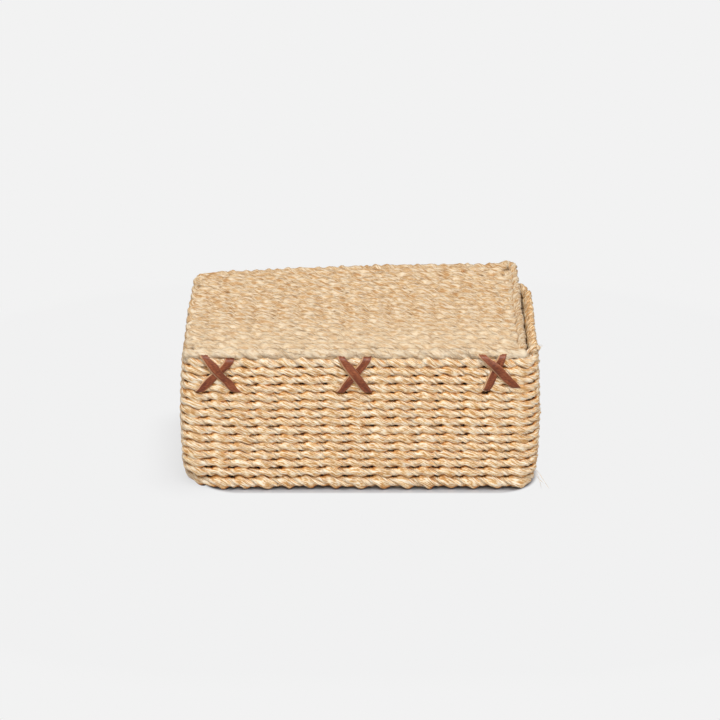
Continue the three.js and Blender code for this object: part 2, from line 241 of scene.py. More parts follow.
# Each tube is a grid laid over rings of points, closed by merging its doubles.
def joinTubes(name, tubes, material, body, nodes=()):
    whole = bmesh.new()
    for tube in tubes:
        rings = tube["rings"] * mm
        along, around = rings.shape[0] - 1, rings.shape[1] - 1
        sheet = bmesh.new()
        sheet.loops.layers.uv.new("UVMap")
        bmesh.ops.create_grid(sheet, x_segments=around, y_segments=along, size=0.5, calc_uvs=True)
        mesh = bpy.data.meshes.new("tube")
        sheet.to_mesh(mesh)
        sheet.free()
        flat = np.empty(len(mesh.vertices) * 3)
        mesh.vertices.foreach_get("co", flat)
        place = np.rint((flat.reshape(-1, 3)[:, :2] + 0.5) * (around, along)).astype(int)
        column, row = place[:, 0], place[:, 1]
        mesh.vertices.foreach_set("co", rings[row, column].ravel())
        uv = np.empty(len(mesh.loops) * 2)
        mesh.uv_layers["UVMap"].data.foreach_get("uv", uv)
        uv = uv.reshape(-1, 2) * np.array(tube["uvSize"]) * mm + tube["uvStart"]
        mesh.uv_layers["UVMap"].data.foreach_set("uv", uv.ravel())
        for key, values in tube["values"].items():
            layer = mesh.attributes.new(key, "FLOAT", "POINT")
            layer.data.foreach_set("value", values[row, column].ravel())
        whole.from_mesh(mesh)
        bpy.data.meshes.remove(mesh)
    bmesh.ops.remove_doubles(whole, verts=whole.verts, dist=weldDistance)
    bmesh.ops.recalc_face_normals(whole, faces=whole.faces)
    for face in whole.faces:
        face.smooth = True
    mesh = bpy.data.meshes.new(name)
    whole.to_mesh(mesh)
    whole.free()
    made = bpy.data.objects.new(name, mesh)
    scene.collection.objects.link(made)
    made.data.materials.append(material)
    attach(made, body)
    if nodes:
        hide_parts(*nodes)


# Slow, smooth, seeded unevenness along a strand that closes on itself: a few waves of unlike length.
wanderWaves = 3
wanderSpread = (0.6, 1.6)  # shares of the stated wave length


def wander(rng, along, length, wave, size):
    total = np.zeros_like(along)
    for _ in range(wanderWaves):
        turns = max(1, round(length / (wave * rng.uniform(*wanderSpread))))
        total += np.sin(2 * np.pi * turns * along / length + rng.uniform(0, 2 * np.pi))
    return total * size / 2


# Nothing up to `start` and all of it past `start + reach`. A negative reach fades the other way.
def fade(values, start, reach):
    return np.clip((values - start) / reach, 0, 1)


def unit(vectors):
    return vectors / np.linalg.norm(vectors, axis=-1, keepdims=True)


def facing(path, direction):
    return unit(np.tile([direction], (len(path), 1)))


def resample(points, step, closed):
    points = np.array(points, float)
    if closed:
        points = np.vstack([points, points[:1]])
    gaps = np.linalg.norm(np.diff(points, axis=0), axis=1)
    along = np.concatenate([[0], np.cumsum(gaps)])
    count = max(fewestSteps, round(along[-1] / step))
    wanted = np.linspace(0, along[-1], count + 1)
    return np.stack([np.interp(wanted, along, points[:, i]) for i in range(3)], axis=1), wanted


def tangents(points, closed):
    if closed:
        ring = points[:-1]
        ahead = np.roll(ring, -1, axis=0) - np.roll(ring, 1, axis=0)
        return unit(np.vstack([ahead, ahead[:1]]))
    return unit(np.gradient(points, axis=0))


weave = {
    "step": 1.15,
    "around": 14,
    "girth": 12,  # round a strand, for its UV map
    "lobe": 14.25,  # one strand's run over one stake
    "throw": 1.3,  # of a strand's middle from the stakes
    "slant": 1.0,  # rise and fall of a strand's middle inside its row
    "thickness": 1.6,  # half thickness
    "flatWidth": 3.05,  # half width where a strand lies over a stake
    "tuckWidth": 3.6,  # half width where it stands on edge beside its partner
    "sway": 0.85,  # rise and fall of the whole row with its lobes
    "row": 2.65,  # from the middle of a row to where the painted shade is darkest
    "rowPinch": 0.6,  # how much nearer that comes where a strand thins
    "gap": 1.7,  # how fast the painted shade darkens into the gap between two rows
    "gapSharp": 4,  # and how closely that painted shade keeps to the gap
    "open": 0.3,  # share by which the painted shade in the gap is darker where the strands cross, and paler under a lobe
    "pinch": 0.1,  # share by which a strand thins there, which leaves small holes between rows
    "paintedCrossLight": 0.17,  # and by which it is painted paler there, a painted light that offsets the shade where the strands cross
    "paintedCrossLightMean": 0.3,  # taken off all along, so that the mean tone stays
    "snap": 0.55,  # below 1 a strand stays flat over its stake and crosses its partner quickly
    "plump": 0.7,  # below 1 the section is fuller than an ellipse
    "ridge": 0.06,  # share by which the twisted strips stand out
    "ridgeCount": 3,
    "ridgeTwist": 17,
    "wobble": 0.22,  # of the lobes along the row, in two waves
    "wobbleWaves": (90, 26),
    "fineWobble": 0.4,
    "swell": 0.07,  # of a strand's size, in two waves
    "swellWaves": (30, 9),
    "fineSwell": 0.5,
    "drift": 0.14,  # of a strand up and down
    "driftWave": 45,
    "lift": 0.18,  # and in and out
    "liftWave": 55,
    "inner": 0.2,  # painted shade on the side toward the stakes
    "shade": 1.0,  # strength of the painted shade where a strand is tucked in
    "tone": 0.0,
    "toneSpread": 0.03,  # between strands
    "toneDrift": 0.025,  # and along one
    "toneWave": 24,
    "wear": 0.0,
}


# Two strands that wind round each other along a path, each point with a painted shade value for the
# straw's colour. `normal` points to the weave's outer side, and a `free` rope has no rows beside it.
def twine(points, along, normal, seed, closed=False, ends=0.0, start=0.0, free=False, **changes):
    w = {**weave, **changes}
    rng = np.random.default_rng(seed)
    length = along[-1]

    def uneven(wave, size):
        return wander(rng, along, length, wave, size)

    forward = tangents(points, closed)
    up = unit(np.cross(normal, forward))
    normal = unit(np.cross(forward, up))
    turns = length / (2 * w["lobe"])
    if closed:
        turns = round(turns)
    longWave, shortWave = w["wobbleWaves"]
    phase = 2 * np.pi * turns * along / length + start
    phase += uneven(longWave, w["wobble"]) + uneven(shortWave, w["wobble"] * w["fineWobble"])
    turn = np.pi + 2 * np.pi * np.arange(w["around"] + 1) / w["around"]
    full = [np.sign(side) * np.abs(side) ** w["plump"] for side in (np.cos(turn), np.sin(turn))]
    allRound = np.ones((1, len(turn)))
    longWave, shortWave = w["swellWaves"]
    tubes = []
    for strand in (0, 1):
        phi = phase + np.pi * strand
        slope = np.sin(phi)[:, None]
        cosine, sine = np.cos(phi), w["snap"] * np.sin(phi)
        cosine, sine = (side[:, None] / np.hypot(cosine, sine)[:, None] for side in (cosine, sine))
        swell = 1 + uneven(longWave, w["swell"]) + uneven(shortWave, w["swell"] * w["fineSwell"])
        if ends:  # an open strand closes to a point at each end
            swell = swell * np.sqrt(fade(np.minimum(along, length - along), 0, ends))
        drift = uneven(w["driftWave"], w["drift"])[:, None]
        lift = uneven(w["liftWave"], w["lift"])[:, None]
        sway = w["sway"] * np.sin(2 * phi)[:, None]
        centre = points + normal * (w["throw"] * cosine + lift) - up * (w["slant"] * slope + sway + drift)
        outward = normal * cosine - up * sine
        sideways = -normal * sine - up * cosine
        twist = 2 * np.pi * along[:, None] / w["ridgeTwist"]
        ridges = 1 + w["ridge"] * np.sin(w["ridgeCount"] * turn[None, :] + twist)
        width = (w["flatWidth"] * cosine ** 2 + w["tuckWidth"] * sine ** 2) * swell[:, None] * ridges
        thick = w["thickness"] * (1 - w["pinch"] * sine ** 2) * swell[:, None] * ridges
        rings = (centre[:, None, :]
                 + outward[:, None, :] * (thick * full[0][None, :])[:, :, None]
                 + sideways[:, None, :] * (width * full[1][None, :])[:, :, None])
        away = rings - points[:, None, :]
        reach = w["throw"] + w["thickness"]
        # painted shade: a free rope is painted darker toward its middle, in its creases
        if free:
            paintedDark = 1 - np.linalg.norm(away, axis=2) / reach
        else:  # painted shade: darkest deep down between two rows, and a little dark toward the stakes
            out = (away * normal[:, None, :]).sum(axis=2) / reach
            deep = 1 - np.clip(np.abs(out), 0, 1)
            edge = w["row"] * (1 - w["rowPinch"] * w["pinch"] * sine ** 2)
            beside = np.clip(np.abs((away * up[:, None, :]).sum(axis=2)) / edge, 0, 1)
            paintedDark = np.clip(deep * w["gap"], 0, 1) * beside ** w["gapSharp"]
            paintedDark = paintedDark * (1 + w["open"] * (2 * sine ** 2 - 1))
            paintedDark = np.maximum(paintedDark, w["inner"] * np.clip(-out, 0, 1))
        # the light left after the painted shade, which the straw's colour is multiplied by
        paintedLitShare = 1 - w["shade"] * paintedDark
        rings[..., 2] = np.maximum(rings[..., 2], tableClear)
        tone = w["tone"] + rng.uniform(-w["toneSpread"], w["toneSpread"])
        # painted light: a strand is paler where it crosses its partner, to offset the shade there
        tone = tone + uneven(w["toneWave"], w["toneDrift"]) + w["paintedCrossLight"] * (sine[:, 0] ** 2 - w["paintedCrossLightMean"])
        tubes.append({
            "rings": rings,
            "uvSize": (w["girth"], length),
            "uvStart": rng.uniform(0, uvSpread, 2),
            "values": {
                "paintedLitShare": np.clip(paintedLitShare, 0, 1),
                "tone": tone[:, None] * allRound,
                "wear": np.broadcast_to(w["wear"], along.shape)[:, None] * allRound,
            },
        })
    return tubes


# The leather laces' sizes, which the wall's rows also need.
wallHalf = 3.3  # from the middle of the wall to its faces
laces = {
    "width": (4.8, 5.3),  # of the lower thong of a cross, and of the upper one
    "headNarrow": (0.1, 0.4),  # share by which a thong's head folds together where it goes into the rope
    "footNarrow": 0.2,
    "narrowReach": 5,
    "headDip": 3.2,
    "dipReach": 1.6,
    "thickness": 1.2,
    "bevel": 0.65,  # by which the cut edges lean
    "square": (0.35, 0.5),  # below 1 the section is squarer than an ellipse
    "rawShare": 0.9,  # from here on round the section the cut edge shows
    "uneven": 0.05,
    "unevenWave": 18,
    "step": 0.6,
    "smooth": 4,  # passes that round its bends
    "faceStep": 1.0,
    "faceSmooth": 3,  # passes over the stretch in front of the wall, which bends evenly
    "around": 16,
    "overlap": 1.3,
    "overlapReach": 4.5,
    "dive": ((4.0, 0.0), (2.2, 0.1), (1.1, 0.5), (0.35, 1.2)),  # how a thong bends into its lower hole
    "diveTop": 2.2,
    "holeDrop": 1,  # to the hole's inner end
    "ropeRadius": 4.1,  # of the bend round the hinge rope
    "ropeFoot": 91,  # where that bend begins
    "hook": (1.0, 0.4),  # past the head: in front of the rope's middle, and above the head
    "backInset": 4.4,  # behind the rope, from the middle of the wall
    "tail": (1.5, 0.6, -11),  # the lower end inside: aside, inward and below its hole
    "tuck": (1.5, 0.4, 80),  # the upper end inside: aside, inward and its height
    "seed": 600,
    "overSeed": 10,
    "crosses": {  # the lower and the upper thong of each cross, as x and z from its foot to its head
        "left": (
            ((-99.8, 68.9), (-95.9, 73.9), (-90.7, 79.8), (-84.5, 85.0), (-81.2, 88.9), (-80.4, 91.2)),
            ((-77.1, 68.7), (-82.9, 77.2), (-87.6, 81.8), (-92.0, 88.3), (-95.4, 91.7), (-97.3, 93.4)),
        ),
        "middle": (
            ((-12.6, 68.4), (-10.1, 72.0), (-7.5, 75.9), (-0.2, 85.0), (3.0, 88.9), (4.4, 92.2)),
            ((4.9, 68.3), (1.9, 73.3), (-3.2, 81.1), (-6.3, 85.0), (-9.2, 88.9), (-12.6, 92.4)),
        ),
        "right": (
            ((77.6, 69.6), (79.4, 73.3), (82.3, 81.1), (85.8, 88.4), (86.9, 90.9), (88.2, 93.6)),
            ((96.2, 71.6), (94.1, 74.6), (90.4, 78.5), (84.1, 86.2), (79.1, 90.0), (74.6, 93.3)),
        ),
    },
}

# The wall: fifteen courses and the rim, which swell a little at half height and draw in at the foot.
outerBox = boxOf("outer_strand_08")
wall = {
    "halfLength": outerBox[1][0] - wallHalf,  # to the middle of the wall
    "halfDepth": outerBox[1][1] - wallHalf,
    "corner": 9,
    "cornerPoints": 13,
    "footCorners": (15, 20, 26, 40),  # from the front right corner on
    "footTurn": 5,
    "pitch": 5.7,
    "courses": 15,
    "bulge": 1.7,
    "bulgePower": 0.8,
    "depthShare": 0.7,  # of the bulge on the front and the back
    "footDraw": 17,  # the lowest course turns under the box
    "footFade": 4.0,
    "foot": {"flatWidth": 4.3, "thickness": 2.0, "slant": 1.5, "throw": 1.2},  # the course that hides it
    "stakeShift": -2,
    "startSpread": 0.3,  # radians between the lobes of one course and the next
    "settle": 0.8,
    "settlePower": 4,
    "sag": 2.1,
    "sagReach": 0.8,  # in courses
    "leanStart": 85,  # the ends lean from here on, most at the top
    "leanReach": 18,
    "leanLeft": 1.3,  # of the top of the left end, inward
    "leanLeast": 0.4,  # at its corners
    "leanRight": 1.6,  # of the top of the right end, outward at the back
    "leanPivot": 0.3,  # share of the depth where it stands upright
    "leanPower": 3,
    "cornerLift": 2.4,  # of the rim at the back right
    "wave": 0.45,
    "waveLength": 90,
    "waveSeed": 90,
    "ownWave": 0.1,
    "ownWaveLength": 70,
    "parting": 0.75,  # of the rows where a thong passes between them
    "partingReach": (4, 5),  # along a row, and up and down
    "partingPower": 4,
    "pathSeed": 100,
    "startSeed": 150,
    "strandSeed": 200,
}
wallTop = wall["pitch"] * (wall["courses"] + 1)


def bulgeAt(z):
    return wall["bulge"] * math.sin(math.pi * min(max(z / wallTop, 0), 1)) ** wall["bulgePower"]


def drawAt(z):
    return wall["footDraw"] * math.exp(-(z / wall["footFade"]) ** 2)


def wallPath(z, seed, step, outward=0.0):
    rng = np.random.default_rng(seed)
    halfLength = wall["halfLength"] + bulgeAt(z) - drawAt(z) + outward
    halfDepth = wall["halfDepth"] + bulgeAt(z) * wall["depthShare"] - drawAt(z) + outward
    points = [(0, -halfDepth, z)]
    for corner, (sx, sy) in enumerate(((1, -1), (1, 1), (-1, 1), (-1, -1))):
        widening = wall["footCorners"][corner] - wall["corner"]
        radius = wall["corner"] + widening * math.exp(-z / wall["footTurn"])
        for angle in np.linspace(corner - 1, corner, wall["cornerPoints"]) * math.pi / 2:
            points.append((sx * (halfLength - radius) + radius * math.cos(angle),
                           sy * (halfDepth - radius) + radius * math.sin(angle), z))
    path, along = resample(points, step, True)
    shared = np.random.default_rng(wall["waveSeed"])  # neighbouring rows wave together
    path[:, 2] += (wander(shared, along, along[-1], wall["waveLength"], wall["wave"])
                   + wander(rng, along, along[-1], wall["ownWaveLength"], wall["ownWave"]))
    deep = np.clip(path[:, 1] / (2 * halfDepth) + 0.5, 0, 1)  # from the front to the back
    leaning = fade(np.abs(path[:, 0]), wall["leanStart"], wall["leanReach"])
    leaning *= (z / wallTop) ** wall["leanPower"]
    right = path[:, 0] > 0
    path[:, 0] += leaning * np.where(right, wall["leanRight"] * (deep - wall["leanPivot"]),
                                     wall["leanLeft"] * (wall["leanLeast"] + np.sin(np.pi * deep)))
    path[:, 2] += leaning * np.where(right, wall["cornerLift"] * deep ** wall["leanPower"], 0)
    partAlong, partUp = wall["partingReach"]
    for cross in laces["crosses"].values():
        for (footX, footZ), *_ in cross:
            near = np.exp(-((path[:, 0] - footX) / partAlong) ** 2) * (path[:, 1] < 0)
            above = z - footZ
            part = wall["parting"] * np.sign(above) * math.exp(-(above / partUp) ** wall["partingPower"])
            path[:, 2] += part * near
    forward = tangents(path, True)
    normal = unit(np.stack([forward[:, 1], -forward[:, 0], np.zeros(len(path))], axis=1))
    return path, along, normal


# The upper courses are beaten down a little closer, and the second one sags over the edge of the base.
def courseHeight(course):
    settled = wall["settle"] * (course / wall["courses"]) ** wall["settlePower"]
    sag = wall["sag"] * math.exp(-((course - 1) / wall["sagReach"]) ** 2)
    return (course + 0.5) * wall["pitch"] - settled - sag


wallTubes = []
for course in range(wall["courses"]):
    path, along, normal = wallPath(courseHeight(course), wall["pathSeed"] + course, weave["step"])
    rng = np.random.default_rng(wall["startSeed"] + course)
    start = -wall["stakeShift"] * math.pi / weave["lobe"]
    start += rng.uniform(-wall["startSpread"], wall["startSpread"])
    tubes = twine(path, along, normal, wall["strandSeed"] + course, closed=True, start=start,
                  **(wall["foot"] if course == 1 else {}))
    number = f"{course + 1:02d}"
    nodes = [f"outer_strand_{number}"] + ([f"inner_strand_{number}"] if course else [])
    joinTubes(f"wallCourse_{number}", tubes, wallStraw, "box", nodes)
    wallTubes += tubes
print("wall woven")

# The rim: one rope on top of the wall, darker along the right end, where the lid leaves it bare.
rim = {
    "outward": 0.2,
    "step": 1.3,
    "tone": -0.23,
    "bareX": (80, 15),  # where the darker stretch begins, and over what length
    "bareY": (-56, 10),
    "seed": 260,
    "rope": {"lobe": 11.5, "slant": 1.0, "throw": 1.15, "thickness": 1.8, "tuckWidth": 2.6, "shade": 0.9},
}
path, along, normal = wallPath(courseHeight(wall["courses"]), rim["seed"], rim["step"], rim["outward"])
bare = fade(path[:, 1], *rim["bareY"]) * fade(path[:, 0], *rim["bareX"])
rimTubes = twine(path, along, normal, rim["seed"], closed=True, free=True, tone=rim["tone"] * bare,
                 **rim["rope"])
joinTubes("rimRope", rimTubes, wallStraw, "box", ["rim_border"])


# Round cords for the stakes, which show only in the gaps of the weave, and for loose fibres.
def cordTube(points, radius, seed, around=8, step=3.0, tone=0.0):
    rng = np.random.default_rng(seed)
    path, along = resample(points, step, False)
    forward = tangents(path, False)
    side = np.where(np.abs(forward[:, :1]) > 0.9, [[0, 1, 0]], [[1, 0, 0]])
    second = unit(np.cross(forward, side))
    side = np.cross(second, forward)
    turn = 2 * np.pi * np.arange(around + 1) / around
    size = np.full(len(path), radius)
    size[[0, -1]] = 0  # closes the ends
    rings = (path[:, None, :] + side[:, None, :] * np.cos(turn)[None, :, None] * size[:, None, None]
             + second[:, None, :] * np.sin(turn)[None, :, None] * size[:, None, None])
    rings[..., 2] = np.maximum(rings[..., 2], tableClear)
    shape = rings.shape[:2]
    return {
        "rings": rings,
        "uvSize": (2 * np.pi * radius, along[-1]),
        "uvStart": rng.uniform(0, uvSpread, 2),
        "values": {"paintedLitShare": np.ones(shape), "tone": np.full(shape, tone), "wear": np.zeros(shape)},
    }


# Stakes: each long one runs down the front, under the base and up the back, and those of the ends
# are tucked into the base.
stakes = {
    "radius": 0.75,
    "pitch": 14.25,
    "shift": -2,
    "pairs": 6,
    "sidePairs": 3,
    "top": 86,
    "base": 3.3,
    "bend": 5,
    "bendCut": 0.3,  # share of the bend that its middle point is in from the corner
    "sideReach": 84,  # where the end stakes stop in the base
    "seed": 300,
    "sideSeed": 340,
}
stakeRange = range(-stakes["pairs"], stakes["pairs"] + 1)
stakeX = [stakes["shift"] + i * stakes["pitch"] for i in stakeRange]
low, high, bend = stakes["base"], stakes["top"], stakes["bend"]
cut = bend * stakes["bendCut"]
deep = wall["halfDepth"]
tubes = []
for i, x in zip(stakeRange, stakeX):
    tubes.append(cordTube([
        (x, -deep, high), (x, -deep, low + bend), (x, -deep + cut, low + cut), (x, -deep + bend, low),
        (x, deep - bend, low), (x, deep - cut, low + cut), (x, deep, low + bend), (x, deep, high),
    ], stakes["radius"], stakes["seed"] + i))
for side in (-1, 1):
    for i in range(-stakes["sidePairs"], stakes["sidePairs"] + 1):
        x, y = side * wall["halfLength"], i * stakes["pitch"]
        tubes.append(cordTube([
            (x, y, high), (x, y, low + bend), (x - side * bend, y, low),
            (side * stakes["sideReach"], y, low),
        ], stakes["radius"], stakes["sideSeed"] + i * 2 + side))
joinTubes("boxStakes", tubes, stakeStraw, "box", ["box_stakes"])
print("stakes stood")


turnPoints = 9  # of a row's half round turn


# Rows that run left to right and turn back at each end, as one path.
def rowsPath(firstY, pitch, count, leftAt, rightAt, height, step):
    points = []
    for row in range(count):
        y = firstY + row * pitch
        ends = (leftAt(y), rightAt(y)) if row % 2 == 0 else (rightAt(y), leftAt(y))
        toward = 1 if row % 2 == 0 else -1
        points.append((ends[0], y, height))
        points.append((ends[1], y, height))
        if row < count - 1:
            nextEnd = rightAt(y + pitch) if row % 2 == 0 else leftAt(y + pitch)
            middle = (ends[1] + nextEnd) / 2
            for angle in np.linspace(-0.5, 0.5, turnPoints)[1:-1] * math.pi:
                points.append((middle + toward * pitch / 2 * math.cos(angle),
                               y + pitch / 2 + pitch / 2 * math.sin(angle), height))
    return resample(points, step, False)


# The base: rows on the stakes with rounded corners, and one row round them along the wall.
base = {
    "halfDepth": 52.5,
    "halfLength": 101,
    "corner": 14,
    "rows": 19,
    "height": 4.6,
    "endInset": 3,  # of the rows' turns
    "rowInset": 2.4,  # of the first and the last row
    "step": 1.6,
    "taper": 3.0,
    "edge": {"flatWidth": 2.9, "tuckWidth": 2.9, "thickness": 1.2, "throw": 0.9},  # the row by the wall
    "seed": 400,
    "edgePathSeed": 401,
    "edgeSeed": 402,
}


def baseEnd(y):
    past = max(abs(y) - (base["halfDepth"] - base["corner"]), 0)
    rounding = math.sqrt(max(base["corner"] ** 2 - past ** 2, 0))
    return base["halfLength"] - base["endInset"] - base["corner"] + rounding


firstY = -base["halfDepth"] + base["rowInset"]
rowPitch = -2 * firstY / (base["rows"] - 1)
path, along = rowsPath(firstY, rowPitch, base["rows"], lambda y: -baseEnd(y), baseEnd, base["height"],
                       base["step"])
tubes = twine(path, along, facing(path, (0, 0, 1)), base["seed"], ends=base["taper"])
path, along, _ = wallPath(base["height"], base["edgePathSeed"], base["step"])
tubes += twine(path, along, facing(path, (0, 0, 1)), base["edgeSeed"], closed=True, **base["edge"])
joinTubes("baseWeave", tubes, wallStraw, "box", ["base_weft_lower", "base_weft_upper"])
print("base woven")

# The lid: rows from the hinge rope to the back rope, warped up at the back and most at the right.
hingeBox = boxOf("lid_hinge_cord")
matDrop = 0.8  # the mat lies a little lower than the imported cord
lid = {
    "left": -106.8,
    "right": 97.0,
    "hingeY": (hingeBox[0][1] + hingeBox[1][1]) / 2,
    "hingeZ": (hingeBox[0][2] + hingeBox[1][2]) / 2 - matDrop,
    "firstRow": 5.6,  # from the hinge rope to the first row
    "lastRow": 5.7,  # from the last row to the back rope
    "rows": 19,
    "backY": 60.2,
    "endInset": 3,
    "step": 1.25,
    "taper": 3.0,
    "liftLeft": 3.0,
    "liftRight": 10.0,
    "liftFrom": (-111, 214),  # x where the rise to the right begins, and its length
    "liftEase": 2.2,
    "liftPower": 1.3,  # toward the back
    "liftMost": 1.05,
    "corner": 2.0,  # by which the back right corner stands up
    "cornerX": (86, 14),
    "cornerY": (46, 12),
    "wave": 0.5,  # of the rows front to back
    "waveLength": 90,
    "waveSeed": 500,
    "seed": 501,
    "weave": {"flatWidth": 3.4, "tuckWidth": 3.0, "thickness": 1.7, "throw": 1.1, "slant": 0.5, "sway": 0.2,
              "snap": 1.25, "inner": 0.0},
    "shade": 0.5,
    "paintedGapDarkX": (10, 60),  # the painted shade in the gaps is up to twice as dark toward the back right
    "paintedGapDarkY": (35, 15),
    "wear": 0.32,  # the front of the lid is paler and more even
    "wearY": (-5, -40),
}


def lidLift(points):
    x, y = points[..., 0], points[..., 1]
    deep = np.clip((y - lid["hingeY"]) / (lid["backY"] - lid["hingeY"]), 0, lid["liftMost"])
    rise = 1 - (1 - fade(x, *lid["liftFrom"])) ** lid["liftEase"]
    corner = fade(x, *lid["cornerX"]) * fade(y, *lid["cornerY"])
    lift = lid["liftLeft"] + (lid["liftRight"] - lid["liftLeft"]) * rise
    return lift * deep ** lid["liftPower"] + lid["corner"] * corner


def warped(tubes):
    for tube in tubes:
        tube["rings"][..., 2] += lidLift(tube["rings"])
    return tubes


firstY = lid["hingeY"] + lid["firstRow"]
rowPitch = (lid["backY"] - lid["lastRow"] - firstY) / (lid["rows"] - 1)
path, along = rowsPath(firstY, rowPitch, lid["rows"], lambda y: lid["left"] + lid["endInset"],
                       lambda y: lid["right"] - lid["endInset"], lid["hingeZ"], lid["step"])
liftStart, liftLength = lid["liftFrom"]
path[:, 1] += wander(np.random.default_rng(lid["waveSeed"]), path[:, 0] - liftStart, liftLength,
                     lid["waveLength"], lid["wave"])
# painted shade, up to twice as dark in the lid's gaps toward the back right
paintedGapDark = fade(path[:, 1], *lid["paintedGapDarkY"]) * fade(path[:, 0], *lid["paintedGapDarkX"])
lidTubes = twine(path, along, facing(path, (0, 0, 1)), lid["seed"], ends=lid["taper"],
                 shade=lid["shade"] * (1 + paintedGapDark)[:, None],
                 wear=lid["wear"] * fade(path[:, 1], *lid["wearY"]), **lid["weave"])
joinTubes("lidWeave", warped(lidTubes), lidStraw, "lid", ["lid_weft_lower", "lid_weft_upper"])

# The hinge rope along the lid's front edge: soft, pale and pressed down on the rim.
hingeRope = {
    "fromX": -110,
    "toX": 104,
    "back": 0.8,  # behind the hinge line
    "drop": 1.3,  # below the mat
    "facing": (0.0, -0.8, 0.6),
    "step": 1.4,
    "taper": 3.0,
    "seed": 510,
    "rope": {"slant": 0.4, "flatWidth": 3.2, "tuckWidth": 3.2, "throw": 0.6, "thickness": 2.5, "snap": 0.8,
             "wobble": 0.6, "sway": 0.2, "shade": 0.2, "tone": 0.3, "inner": 0.0, "ridge": 0.08,
             "ridgeTwist": 8, "wear": 0.224},
}
ropeY = lid["hingeY"] + hingeRope["back"]
ropeZ = lid["hingeZ"] - hingeRope["drop"]
path, along = resample([(x, ropeY, ropeZ) for x in (hingeRope["fromX"], hingeRope["toX"])],
                       hingeRope["step"], False)
ropeTubes = twine(path, along, facing(path, hingeRope["facing"]), hingeRope["seed"], ends=hingeRope["taper"],
                  **hingeRope["rope"])
joinTubes("lidHingeRope", ropeTubes, lidStraw, "lid", ["lid_hinge_cord"])

# The border rope along the lid's back and right edges, and the lid's own stakes between its strands.
border = {
    "start": -104.8,
    "side": 100.3,
    "end": -56,
    "tail": 9,  # by which its left end is turned in
    "corner": 3.5,
    "cornerPoints": 7,
    "raise": 0.6,
    "step": 1.3,
    "taper": 3.0,
    "seed": 520,
    "rope": {"lobe": 8.2, "slant": 0.6, "sway": 0.2, "throw": 0.7, "flatWidth": 2.4, "tuckWidth": 2.2,
             "thickness": 2.2, "wobble": 1.2, "swell": 0.12},
    "stakeRadius": 0.6,
    "stakeSeed": 530,
}
edge = [(border["start"], lid["backY"] - border["tail"], lid["hingeZ"])]
for edgeX, inward, first, last in ((border["start"], 1, 1, 0.5), (border["side"], -1, 0.5, 0)):
    for angle in np.linspace(first, last, border["cornerPoints"]) * math.pi:
        edge.append((edgeX + border["corner"] * (math.cos(angle) + inward),
                     lid["backY"] + border["corner"] * (math.sin(angle) - 1), lid["hingeZ"]))
edge.append((border["side"], border["end"], lid["hingeZ"] + border["raise"]))
path, along = resample(edge, border["step"], False)
forward = tangents(path, False)
outward = unit(np.stack([-forward[:, 1], forward[:, 0], np.zeros(len(path))], axis=1))
tubes = twine(path, along, outward, border["seed"], ends=border["taper"], free=True, **border["rope"])
for i, x in zip(stakeRange, stakeX):
    tubes.append(cordTube([(x, border["end"], lid["hingeZ"]), (x, lid["backY"], lid["hingeZ"])],
                          border["stakeRadius"], border["stakeSeed"] + i))
joinTubes("lidBorder", warped(tubes), lidStraw, "lid", ["lid_border"])
print("lid woven")


# Leather laces: two crossed thongs each, out through the wall and into the lid's front rope.
def frontAt(z):
    if z < laces["ropeFoot"]:
        return -(wall["halfDepth"] + wallHalf + bulgeAt(z) * wall["depthShare"])
    return ropeY - math.sqrt(max(laces["ropeRadius"] ** 2 - (z - ropeZ) ** 2, 0))


def smoothed(line, times):
    for _ in range(times):
        line[1:-1] = (line[:-2] + 2 * line[1:-1] + line[2:]) / 4
    return line


